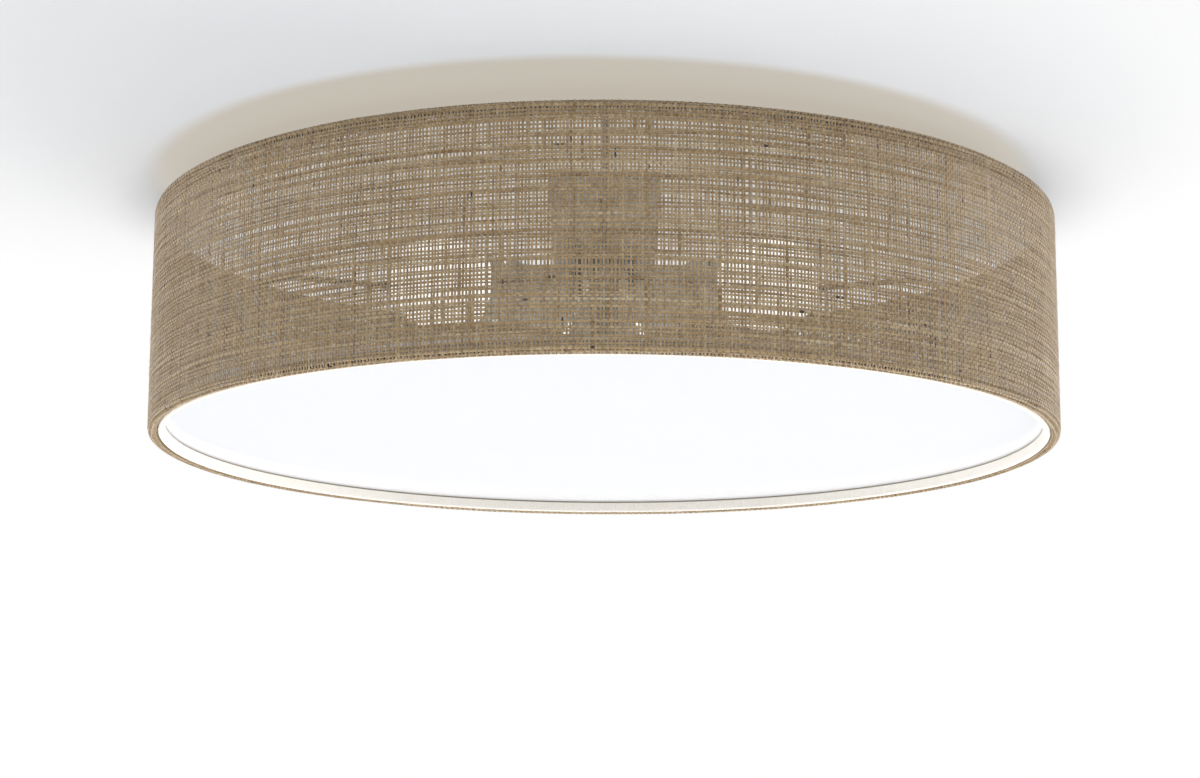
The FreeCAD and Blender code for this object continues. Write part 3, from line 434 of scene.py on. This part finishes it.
def stack_strands(mesh):
    """The bake's own map: strands stacked in rows, each laid out along its length."""
    strand, across, step, depth = read_strands(mesh)
    corner = np.rint(np.arctan2(depth, across) / (2 * math.pi) * SIDES).astype(int) % SIDES
    loops = np.empty(len(mesh.loops), dtype=int)
    mesh.loops.foreach_get("vertex_index", loops)
    corners = corner[loops].reshape(-1, SIDES)
    wraps = np.ptp(corners, axis=1) > 1
    corners[wraps] = np.where(corners[wraps] == 0, SIDES, corners[wraps])
    longest = np.ones(strand.max() + 1)
    np.maximum.at(longest, strand, step)
    along = MAP_MARGIN + (1 - 2 * MAP_MARGIN) * step[loops] / longest[strand[loops]]
    in_row = ROW_MARGIN + (1 - 2 * ROW_MARGIN) * corners.ravel() / SIDES
    row = (strand[loops] + in_row) / (strand.max() + 1)
    layer = mesh.uv_layers.new(name="OFBake")
    layer.data.foreach_set("uv", np.column_stack((along, row)).astype(np.float32).ravel())


def keep_values(mesh, **fields):
    """Stores a number for each vertex, which the material reads by its name."""
    for name, values in fields.items():
        attribute = mesh.attributes.new(name, "FLOAT", "POINT")
        attribute.data.foreach_set("value", np.ascontiguousarray(values, dtype=np.float32))


def place_on_cloth(angle, down, out):
    """Points at an angle from the back, that many level yarns down the cloth, and that far out
    of its middle."""
    facing_r = np.interp(down, PATH_STEPS, FACING_R)
    facing_z = np.interp(down, PATH_STEPS, FACING_Z)
    scale = out / np.hypot(facing_r, facing_z)
    radius = np.interp(down, PATH_STEPS, PATH_R) + facing_r * scale
    level = np.interp(down, PATH_STEPS, PATH_Z) + facing_z * scale
    return np.column_stack((radius * np.sin(angle), radius * np.cos(angle), level))


def weave(mesh, panel):
    """Lays a panel's bare strands over and under each other into the cloth."""
    strand, across, step, depth = read_strands(mesh)
    upright = strand < PANEL_ENDS
    end = panel * PANEL_ENDS + np.where(upright, strand, step)
    pick = np.where(upright, 0, strand - PANEL_ENDS)
    station = np.where(upright, step, pick + 1)
    own = np.minimum(end, ENDS - 1)
    side = np.where((end + station) % 2 == 0, 1.0, -1.0) * ((station > 0) & (station <= PICKS))
    path_radius = np.interp(station, PATH_STEPS, PATH_R)
    angle = TURN * (end + 0.5) + np.where(
        upright, TURN * end_aside[own, station] + across * end_width[own, station] / path_radius, 0)
    down = station + np.where(
        upright, 0, pick_aside[pick, end] + across * pick_width[pick, end] / PICK)
    out = np.where(upright, side, -side) * WAVE + depth * YARN_DEPTH
    mesh.vertices.foreach_set("co", place_on_cloth(angle, down, out).ravel())
    keep_values(mesh, tone=np.where(upright, end_tone[own, station], pick_tone[pick, end]),
                fleck=np.where(upright, end_fleck[own, station], pick_fleck[pick, end]))
    mesh.update()


def jute_material():
    """Dull, hairy golden-brown yarn: the tone wanders along each yarn, with dark flecks."""
    material, tree, output = new_material("natural_jute_yarn")
    tone = add(tree, "ShaderNodeAttribute", {"attribute_name": "tone"})
    fleck = add(tree, "ShaderNodeAttribute", {"attribute_name": "fleck"})
    coords = add(tree, "ShaderNodeTexCoord")
    patchy = add(tree, "ShaderNodeTexNoise", {"Scale": 1 / MOTTLE_SIZE, "Detail": 3.0, "Roughness": 0.6},
                 {"Vector": coords.outputs["Object"]})
    hairy = add(tree, "ShaderNodeTexNoise", {"Scale": 1 / FUZZ_SIZE, "Detail": 2.0},
                {"Vector": coords.outputs["Object"]})
    spread = add(tree, "ShaderNodeMath",
                 {"operation": "MULTIPLY_ADD", 1: JUTE_MOTTLE, 2: -JUTE_MOTTLE / 2},
                 {0: patchy.outputs["Fac"]})
    mottled = add(tree, "ShaderNodeMath", {"operation": "ADD"},
                  {0: tone.outputs["Fac"], 1: spread.outputs[0]})
    ramp = add(tree, "ShaderNodeValToRGB", None, {"Fac": mottled.outputs[0]})
    stops = ramp.color_ramp.elements
    stops[1].position = JUTE_STOPS[-1]
    stops[0].position = JUTE_STOPS[0]
    for place in JUTE_STOPS[1:-1]:
        stops.new(place)
    for stop, shade in zip(stops, JUTE_SHADES):
        stop.color = linear(shade)
    dark = add(tree, "ShaderNodeMapRange", {"From Min": FLECK_EDGE[0], "From Max": FLECK_EDGE[1]},
               {"Value": fleck.outputs["Fac"]})
    colour = add(tree, "ShaderNodeMix", {"data_type": "RGBA", 7: linear(FLECK_SHADE)},
                 {0: dark.outputs["Result"], 6: ramp.outputs["Color"]})
    bump = add(tree, "ShaderNodeBump", {"Strength": 0.5, "Distance": 0.0002},
               {"Height": hairy.outputs["Fac"]})
    yarn = add(tree, "ShaderNodeBsdfPrincipled",
               {"Roughness": 0.88, "Sheen Weight": 0.8, "Sheen Roughness": 0.4},
               {"Base Color": colour.outputs[2], "Normal": bump.outputs["Normal"]})
    tree.links.new(yarn.outputs["BSDF"], output.inputs["Surface"])
    return material


jute = jute_material()
bare = bare_strands("jute", [(PANEL_ENDS, PICKS + 1), (PICKS, PANEL_ENDS)])
stack_strands(bare)
bare.shade_smooth()
for panel in range(PANELS):
    mesh = bare.copy()
    mesh.name = f"jute_weave_{panel + 1}"
    weave(mesh, panel)
    cloth = new_piece(mesh.name, mesh, jute)
    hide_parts("jute_cover")
    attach(cloth, "shade")
bpy.data.meshes.remove(bare)


def fray(mesh):
    """Lays bare strands as loose hairs that lift off the cloth's outer face."""
    strand, across, step, depth = read_strands(mesh)
    begin = rng.uniform(0, 2 * math.pi, FIBRES)
    down = rng.uniform(FIBRE_MARGIN[0], PICKS - FIBRE_MARGIN[1], FIBRES)
    length = rng.uniform(*FIBRE_LENGTH, FIBRES)
    slope = rng.uniform(-math.pi, math.pi, FIBRES)
    curl = rng.uniform(-FIBRE_CURL, FIBRE_CURL, FIBRES)
    lift = rng.uniform(*FIBRE_LIFT, FIBRES)
    t = step / FIBRE_STEPS
    way = slope[strand] + curl[strand] * t
    side_on = FIBRE_HALF * across * (1.2 - t)
    run = length[strand] * t
    angle = begin[strand] + (run * np.cos(way) - side_on * np.sin(way)) / SHADE_RADIUS
    drop = down[strand] + (run * np.sin(way) + side_on * np.cos(way)) / PICK
    out = WAVE + lift[strand] * t * (2 - 1.4 * t) + FIBRE_HALF * depth
    mesh.vertices.foreach_set("co", place_on_cloth(angle, np.clip(drop, 0, PICKS + 1), out).ravel())
    tone = rng.uniform(*FIBRE_TONE, FIBRES)
    keep_values(mesh, tone=tone[strand], fleck=np.zeros(len(strand)))
    mesh.update()


hairs = bare_strands("jute_stray_fibres", [(FIBRES, FIBRE_STEPS)])
stack_strands(hairs)
hairs.shade_smooth()
fray(hairs)
stray = new_piece("jute_stray_fibres", hairs, jute)
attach(stray, "shade")


# ------------------------------------------------------------------ film
# The stiff clear film that the cloth is glued round keeps the drum's shape. It shows only as a
# faint gloss between the yarns.
def dress(names, material):
    """Gives CAD pieces a material of their own."""
    for name in names:
        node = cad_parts[name]
        node.data.materials.clear()
        node.data.materials.append(material)


DARK_PATCH = 0.55             # a patch's shade, beside the plain one, at full mottle
PATCH_EDGE = (0.3, 0.7)
GLOSS_DRIFT = 0.07
LEAST_ROUGH = 0.02


def grainy(name, shade, roughness, metallic=0.0, mottle=0.12, patch=0.0111, grain=0.000667,
           depth=0.00003, **sockets):
    """A solid finish: its shade drifts a little in patches, and fine grain breaks up its gloss.
    Patch and grain are their real sizes, and depth is the grain's height."""
    material, tree, output = new_material(name)
    coords = add(tree, "ShaderNodeTexCoord")
    patches = add(tree, "ShaderNodeTexNoise", {"Scale": 1 / patch, "Detail": 4.0},
                  {"Vector": coords.outputs["Object"]})
    fine = add(tree, "ShaderNodeTexNoise", {"Scale": 1 / grain, "Detail": 2.0},
               {"Vector": coords.outputs["Object"]})
    amount = add(tree, "ShaderNodeMapRange",
                 {"From Min": PATCH_EDGE[0], "From Max": PATCH_EDGE[1], "To Max": mottle},
                 {"Value": patches.outputs["Fac"]})
    base = linear(shade)
    darker = [DARK_PATCH * value for value in base[:3]] + [1.0]
    colour = add(tree, "ShaderNodeMix", {"data_type": "RGBA", 6: base, 7: darker},
                 {0: amount.outputs["Result"]})
    dull = add(tree, "ShaderNodeMapRange",
               {"To Min": max(LEAST_ROUGH, roughness - GLOSS_DRIFT), "To Max": roughness + GLOSS_DRIFT},
               {"Value": fine.outputs["Fac"]})
    bump = add(tree, "ShaderNodeBump", {"Strength": 0.4, "Distance": depth},
               {"Height": fine.outputs["Fac"]})
    surface = add(tree, "ShaderNodeBsdfPrincipled", {"Metallic": metallic, **sockets},
                  {"Base Color": colour.outputs[2], "Roughness": dull.outputs["Result"],
                   "Normal": bump.outputs["Normal"]})
    tree.links.new(surface.outputs["BSDF"], output.inputs["Surface"])
    return material


FILM_ALPHA = 0.10
film = grainy("clear_styrene_film", "#f4f3ee", 0.18, mottle=0.05, patch=0.050, grain=0.001667,
              Alpha=FILM_ALPHA)
dress(["shade_film"], film)

# ------------------------------------------------------------------ wire frame
# Two wire rings in dark brown lacquer, which hides them behind the cloth, and a three-arm spider
# of zinc-plated steel.
lacquered = grainy("dark_brown_lacquered_wire", "#3d3128", 0.5, mottle=0.2, patch=0.00625)
plated = grainy("zinc_plated_wire", "#77787a", 0.42, metallic=0.8, mottle=0.3, patch=0.00625)
dress(["shade_top_ring", "shade_bottom_ring"], lacquered)
dress(["spider_hub", "spider_arm_1", "spider_arm_2", "spider_arm_3"], plated)

# ------------------------------------------------------------------ seat ring
# The band inside the lower edge that the diffuser rests on, bound in fine ribbed cream tape, with a
# painted shadow line along its top where the diffuser lies on it.
TAPE_SHADE = "#fbf6ec"
PAINTED_SHADOW_LINE_SHADE = "#9a8f7d"
TAPE_RIBS = 1250              # round the ring, about 1.5 mm apart
PAINTED_SHADOW_LINE_HEIGHT = 0.0010            # height of the painted shadow line at the ring's top, where the diffuser lies
PAINTED_SHADOW_LINE_BLUR = 0.3               # of the painted shadow line's height
RIB_SWING = 0.25              # how far a rib lifts or lowers the tape's cloudy shading
TAPE_MOTTLE = 0.18
TAPE_PATCH = 0.00833          # from a paler patch to a darker one
TAPE_DARK = 0.6               # a dark patch's shade, beside the plain one, at full mottle


def tape_material():
    """Cream tape with fine upright ribs, worked out from the angle round the ring."""
    material, tree, output = new_material("ribbed_cream_tape_with_painted_shadow_line")
    coords = add(tree, "ShaderNodeTexCoord")
    parts = add(tree, "ShaderNodeSeparateXYZ", None, {0: coords.outputs["Object"]})
    round_ring = add(tree, "ShaderNodeMath", {"operation": "ARCTAN2"},
                     {0: parts.outputs["X"], 1: parts.outputs["Y"]})
    ribs = add(tree, "ShaderNodeMath", {"operation": "MULTIPLY", 1: float(TAPE_RIBS)},
               {0: round_ring.outputs[0]})
    wave = add(tree, "ShaderNodeMath", {"operation": "SINE"}, {0: ribs.outputs[0]})
    cloudy = add(tree, "ShaderNodeTexNoise", {"Scale": 1 / TAPE_PATCH, "Detail": 4.0},
                 {"Vector": coords.outputs["Object"]})
    shade = add(tree, "ShaderNodeMath", {"operation": "MULTIPLY_ADD", 1: RIB_SWING},
                {0: wave.outputs[0], 2: cloudy.outputs["Fac"]})
    amount = add(tree, "ShaderNodeMapRange", {"To Max": TAPE_MOTTLE}, {"Value": shade.outputs[0]})
    base = linear(TAPE_SHADE)
    darker = [TAPE_DARK * value for value in base[:3]] + [1.0]
    colour = add(tree, "ShaderNodeMix", {"data_type": "RGBA", 6: base, 7: darker},
                 {0: amount.outputs["Result"]})
    # painted shadow line along the ring's top, where the diffuser lies on it
    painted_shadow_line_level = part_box("seat_ring")[1][2] - PAINTED_SHADOW_LINE_HEIGHT
    painted_shadow_line = add(tree, "ShaderNodeMapRange",
                   {"From Min": painted_shadow_line_level - PAINTED_SHADOW_LINE_BLUR * PAINTED_SHADOW_LINE_HEIGHT, "From Max": painted_shadow_line_level},
                   {"Value": parts.outputs["Z"]})
    with_painted_shadow_line = add(tree, "ShaderNodeMix", {"data_type": "RGBA", 7: linear(PAINTED_SHADOW_LINE_SHADE)},
                {0: painted_shadow_line.outputs["Result"], 6: colour.outputs[2]})
    bump = add(tree, "ShaderNodeBump", {"Strength": 0.6, "Distance": 0.00012},
               {"Height": wave.outputs[0]})
    tape = add(tree, "ShaderNodeBsdfPrincipled", {"Roughness": 0.8, "Sheen Weight": 0.15},
               {"Base Color": with_painted_shadow_line.outputs[2], "Normal": bump.outputs["Normal"]})
    tree.links.new(tape.outputs["BSDF"], output.inputs["Surface"])
    return material


dress(["seat_ring"], tape_material())

# ------------------------------------------------------------------ diffuser
# A loose disc of glossy opal acrylic, lit from below, with a little painted glow. It is smooth enough
# to mirror the ring that it lies on.
# painted glow: the disc gives off a little light of its own, though it is no lamp
OPAL_PAINTED_GLOW = 0.28
OPAL_PAINTED_GLOW_COLOUR = (0.98, 0.985, 1.0, 1.0)
opal = grainy("opal_acrylic_with_painted_glow", "#bfc1c6", 0.09, mottle=0.03, patch=0.0833, grain=0.0025,
              depth=0.000002, **{"Emission Color": OPAL_PAINTED_GLOW_COLOUR, "Emission Strength": OPAL_PAINTED_GLOW})
dress(["diffuser_disc"], opal)

# ------------------------------------------------------------------ canopy
# A slim tray of powder-coated steel under a zinc-plated crossbar, with the tube that carries
# everything and its nuts.
powder = grainy("white_powder_coat", "#dcdcda", 0.45, mottle=0.06, grain=0.0004545, depth=0.00005)
zinc = grainy("zinc_plated_steel", "#b3b7bb", 0.34, metallic=0.9, mottle=0.3, patch=0.00625)
nickel = grainy("nickel_plated_brass", "#c9c6be", 0.2, metallic=1.0, mottle=0.12, patch=0.00833)
dress(["canopy_tray"], powder)
dress(["ceiling_crossbar", "canopy_nut", "canopy_washer", "stem_locknut", "threaded_stem",
       "bracket_screws", "holder_bracket_1", "holder_bracket_2", "holder_bracket_3", "holder_nipples",
       "holder_nuts", "earth_screw", "terminal_screws", "terminal_fixing_screw"], zinc)
dress(["shade_nut"], nickel)

# ------------------------------------------------------------------ lampholders
# Satin white plastic bodies with brass screw shells and contact tongues. Brackets hold them level,
# pointing outwards from the middle of the light.
white_plastic = grainy("satin_white_thermoplastic", "#e6e6e1", 0.4, mottle=0.05)
brass = grainy("plain_brass", "#c9a15a", 0.28, metallic=1.0, mottle=0.25, patch=0.005)
for number in (1, 2, 3):
    dress([f"lampholder_body_{number}"], white_plastic)
    dress([f"lampholder_liner_{number}", f"lampholder_tongue_{number}"], brass)

# ------------------------------------------------------------------ lamps
# Globe lamps that screw into the lampholders: nickel-plated caps with black glass insulators,
# satin housings, and opal globes that glow a little and so show through the cloth.
LAMP_GLOW = 1.2
LAMP_GLOW_COLOUR = (1.0, 0.97, 0.92, 1.0)
housing = grainy("lamp_housing_plastic", "#ececea", 0.38, mottle=0.04)
globe = grainy("opal_lamp_globe", "#f1f1ee", 0.25, mottle=0.03, patch=0.0333,
               **{"Emission Color": LAMP_GLOW_COLOUR, "Emission Strength": LAMP_GLOW})
insulator = grainy("black_insulator_glass", "#0d0d10", 0.12, mottle=0.2)
for number in (1, 2, 3):
    dress([f"lamp_base_{number}"], housing)
    dress([f"lamp_globe_{number}"], globe)
    dress([f"lamp_insulator_{number}"], insulator)
    dress([f"lamp_cap_{number}", f"lamp_contact_{number}"], nickel)

# ------------------------------------------------------------------ wiring
# Brown, blue and green insulated leads, with the crimp sleeves, lug and terminal block that join
# them, and the rubber grommets that they pass through.
block_plastic = grainy("terminal_block_nylon", "#dddcd2", 0.45, mottle=0.08)
rubber = grainy("black_moulded_rubber", "#17171a", 0.7, mottle=0.2)
brown = grainy("brown_lead_insulation", "#4f2c17", 0.4, mottle=0.12)
blue = grainy("blue_lead_insulation", "#245a96", 0.4, mottle=0.12)
green = grainy("green_lead_insulation", "#4d8a35", 0.4, mottle=0.12)
dress(["terminal_block"], block_plastic)
dress(["terminal_inserts", "earth_lug", "crimp_sleeves"], brass)
dress(["wire_grommets"], rubber)
dress(["wires_live"], brown)
dress(["wires_neutral"], blue)
dress(["earth_wire"], green)
